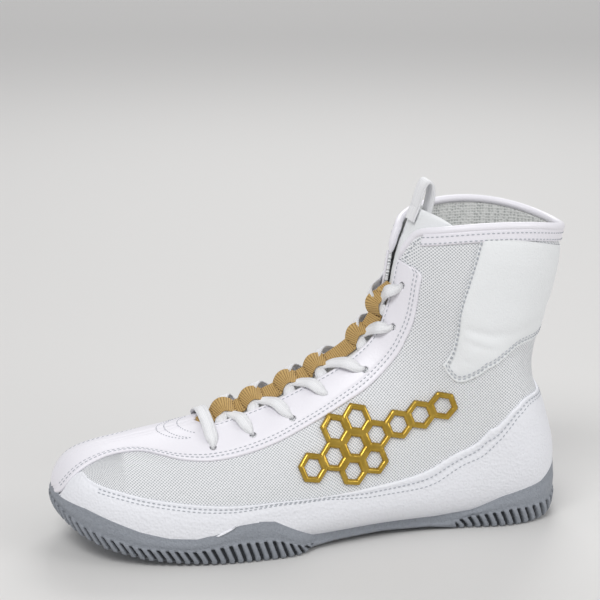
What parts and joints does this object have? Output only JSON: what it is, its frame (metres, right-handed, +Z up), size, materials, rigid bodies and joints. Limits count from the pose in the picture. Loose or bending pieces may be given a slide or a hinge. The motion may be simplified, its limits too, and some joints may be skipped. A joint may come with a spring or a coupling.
{
  "type": "wrestling shoe",
  "caption": "Empty high-top wrestling shoe for the left foot: white mesh and leather shell, gold honeycomb sides, gold throat band, grey ribbed cup sole",
  "frame": {"origin": "centre of the footprint of the bounding box, on the ground", "axes": "X from toe to heel, Y from the outer to the inner side of the left foot, Z up"},
  "size_m": [0.2864, 0.0982, 0.1927],
  "materials": {
    "mesh_fabric": "open white mesh with a fine slanting grid",
    "grey_rubber": "matte grained grey rubber",
    "lining_fabric": "soft knitted lining",
    "white_leather": "smooth white leather",
    "rand_leather": "pebbled white leather",
    "panel_leather": "soft matte padded white",
    "gold_band": "ribbed gold woven tape",
    "gold_film": "satin gold film",
    "lace_white": "flat woven white lace"
  },
  "bodies": {
    "root": {"upper": "mesh_fabric", "outsole": "grey_rubber", "insole": "lining_fabric", "eyestay": "white_leather", "rand": "rand_leather", "ankle_panel_outer": "panel_leather", "ankle_panel_inner": "panel_leather", "collar_binding": "panel_leather", "tongue": "white_leather", "webbing": "gold_band", "lace_cross_1": "lace_white", "lace_cross_2": "lace_white", "lace_cross_3": "lace_white", "lace_cross_4": "lace_white", "lace_cross_5": "lace_white", "lace_cross_6": "lace_white", "lace_bar": "lace_white", "pull_loop": "white_leather", "cage_outer": "gold_film", "cage_inner": "gold_film"}
  },
  "joints": []
}
